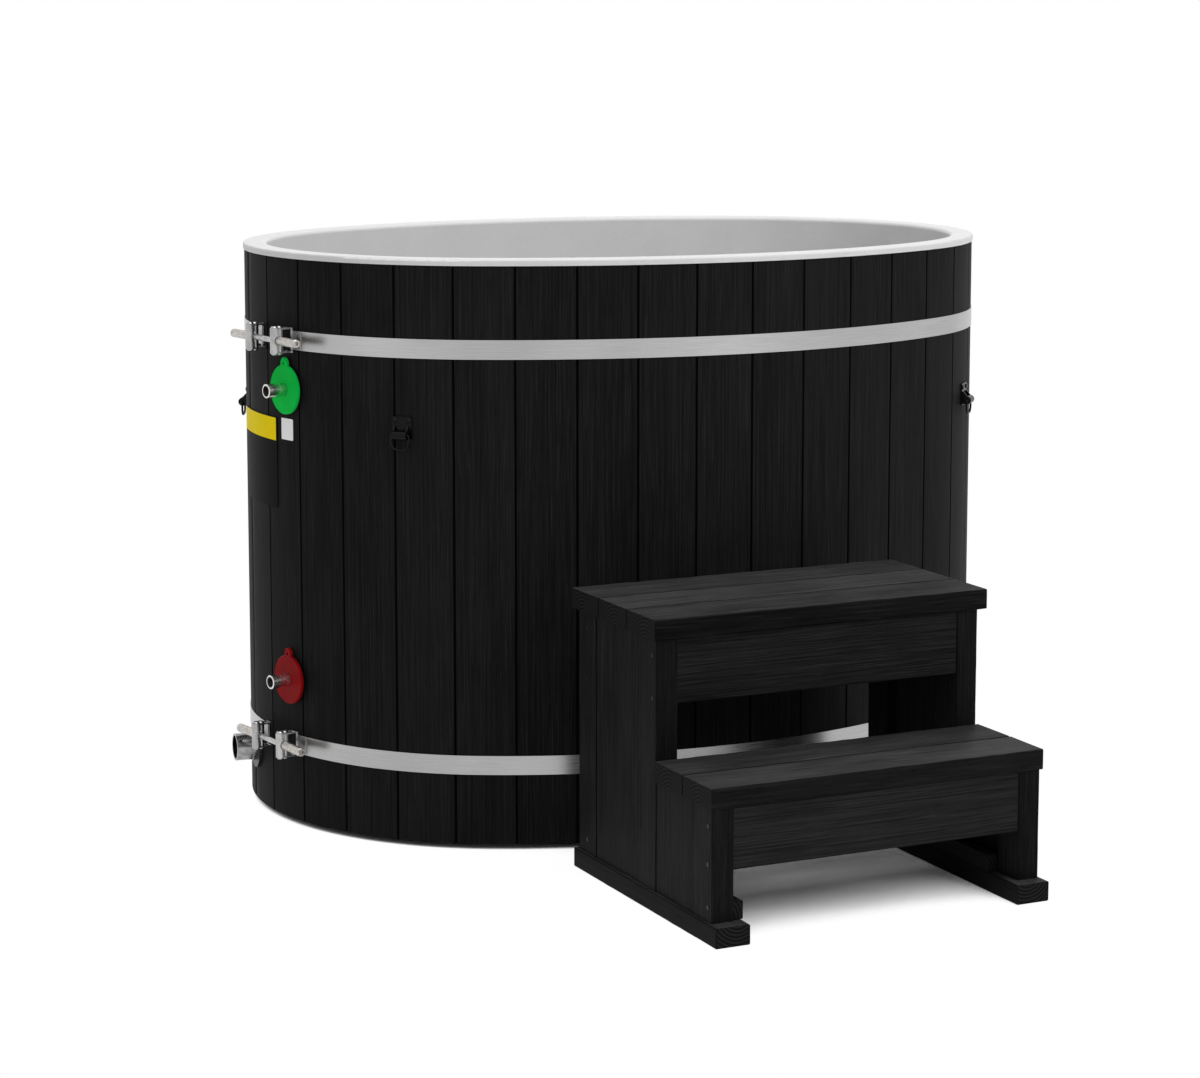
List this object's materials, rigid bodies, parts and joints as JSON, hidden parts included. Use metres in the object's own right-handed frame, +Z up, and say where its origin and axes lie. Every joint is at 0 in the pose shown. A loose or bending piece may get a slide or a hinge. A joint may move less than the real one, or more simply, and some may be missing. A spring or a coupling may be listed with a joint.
{
  "type": "barrel cold plunge tub",
  "caption": "Oval stave-built cold plunge tub with a moulded liner, two tensioned steel hoops, water ports, drain and lid anchors, with its two-step timber stool.",
  "frame": {"origin": "on the floor under the centre of the tub's oval, on the underside of its middle skid", "axes": "+X along the tub's length, away from the water ports; -Y towards the stool and the bather's entry; +Z up"},
  "size_m": [1.414, 1.58, 1],
  "materials": {
    "stained_staves": "black stain, brushed grain",
    "stool_timber": "black stain, brushed grain",
    "base_timber": "black stain",
    "liner_shell": "smooth satin",
    "foam": "closed-cell foam",
    "hoop_steel": "brushed band",
    "lug_steel": "satin",
    "nut_steel": "matte, lightly tarnished",
    "rod_steel": "bright",
    "fitting_steel": "turned stainless",
    "green_enamel": "moulded",
    "red_enamel": "moulded",
    "rubber_seal": "matte",
    "black_hardware": "black powder coat",
    "screw_steel": "blackened"
  },
  "bodies": {
    "stool": {"lower_riser": "stool_timber", "lower_step_board_1": "stool_timber", "lower_step_board_2": "stool_timber", "stool_left_battens": "stool_timber", "stool_left_front_post": "stool_timber", "stool_left_middle_post": "stool_timber", "stool_left_rear_post": "stool_timber", "stool_left_runner": "stool_timber", "stool_left_side_boards": "stool_timber", "stool_right_battens": "stool_timber", "stool_right_front_post": "stool_timber", "stool_right_middle_post": "stool_timber", "stool_right_rear_post": "stool_timber", "stool_right_runner": "stool_timber", "stool_right_side_boards": "stool_timber", "stool_screws": "screw_steel", "upper_riser": "stool_timber", "upper_step_board_1": "stool_timber", "upper_step_board_2": "stool_timber", "upper_step_board_3": "stool_timber"},
    "upper_rear_nut": {"upper_rear_tension_nut": "nut_steel"},
    "upper_front_nut": {"upper_front_tension_nut": "nut_steel"},
    "lower_rear_nut": {"lower_rear_tension_nut": "nut_steel"},
    "lower_front_nut": {"lower_front_tension_nut": "nut_steel"},
    "front_left_bail": {"front_left_anchor_bail": "black_hardware"},
    "front_right_bail": {"front_right_anchor_bail": "black_hardware"},
    "back_right_bail": {"back_right_anchor_bail": "black_hardware"},
    "back_left_bail": {"back_left_anchor_bail": "black_hardware"},
    "tub": {"anchor_bases": "black_hardware", "anchor_screws": "black_hardware", "back_staves": "stained_staves", "base_board": "base_timber", "base_skids": "base_timber", "drain_flange": "fitting_steel", "drain_pipe": "fitting_steel", "drain_strainer": "fitting_steel", "drain_wall_pad": "rubber_seal", "front_staves": "stained_staves", "inlet_disc": "green_enamel", "inlet_gasket": "rubber_seal", "inlet_locknut": "fitting_steel", "inlet_nipple": "fitting_steel", "inlet_seal": "rubber_seal", "insulation": "foam", "left_end_staves": "stained_staves", "liner": "liner_shell", "lower_hoop": "hoop_steel", "lower_lug_straps": "lug_steel", "lower_tension_rod": "rod_steel", "lower_trunnions": "lug_steel", "outlet_disc": "red_enamel", "outlet_gasket": "rubber_seal", "outlet_locknut": "fitting_steel", "outlet_nipple": "fitting_steel", "outlet_seal": "rubber_seal", "right_end_staves": "stained_staves", "upper_hoop": "hoop_steel", "upper_lug_straps": "lug_steel", "upper_tension_rod": "rod_steel", "upper_trunnions": "lug_steel"}
  },
  "joints": [
    {"name": "stool_slide", "type": "slide", "parent": "tub", "child": "stool", "axis": [0, -1, 0], "range_m": [0, 0.6]},
    {"name": "upper_rear_nut_turn", "type": "hinge", "parent": "tub", "child": "upper_rear_nut", "pos_m": [-0.71467, 0.00275, 0.85], "axis": [-0.1599, 0.9871, 0], "continuous": true},
    {"name": "upper_front_nut_turn", "type": "hinge", "parent": "tub", "child": "upper_front_nut", "pos_m": [-0.68903, -0.15559, 0.85], "axis": [0.1599, -0.9871, 0], "continuous": true},
    {"name": "lower_rear_nut_turn", "type": "hinge", "parent": "tub", "child": "lower_rear_nut", "pos_m": [-0.71467, 0.00275, 0.146], "axis": [-0.1599, 0.9871, 0], "continuous": true},
    {"name": "lower_front_nut_turn", "type": "hinge", "parent": "tub", "child": "lower_front_nut", "pos_m": [-0.68903, -0.15559, 0.146], "axis": [0.1599, -0.9871, 0], "continuous": true},
    {"name": "front_left_bail_swing", "type": "hinge", "parent": "tub", "child": "front_left_bail", "pos_m": [-0.55662, -0.33237, 0.705], "axis": [-0.7133, 0.7009, 0], "range_deg": [-10, 165]},
    {"name": "front_right_bail_swing", "type": "hinge", "parent": "tub", "child": "front_right_bail", "pos_m": [0.55662, -0.33237, 0.705], "axis": [-0.7133, -0.7009, 0], "range_deg": [-10, 165]},
    {"name": "back_right_bail_swing", "type": "hinge", "parent": "tub", "child": "back_right_bail", "pos_m": [0.64145, 0.21877, 0.705], "axis": [0.4695, -0.8829, 0], "range_deg": [-10, 165]},
    {"name": "back_left_bail_swing", "type": "hinge", "parent": "tub", "child": "back_left_bail", "pos_m": [-0.64145, 0.21877, 0.705], "axis": [0.4695, 0.8829, 0], "range_deg": [-10, 165]}
  ]
}
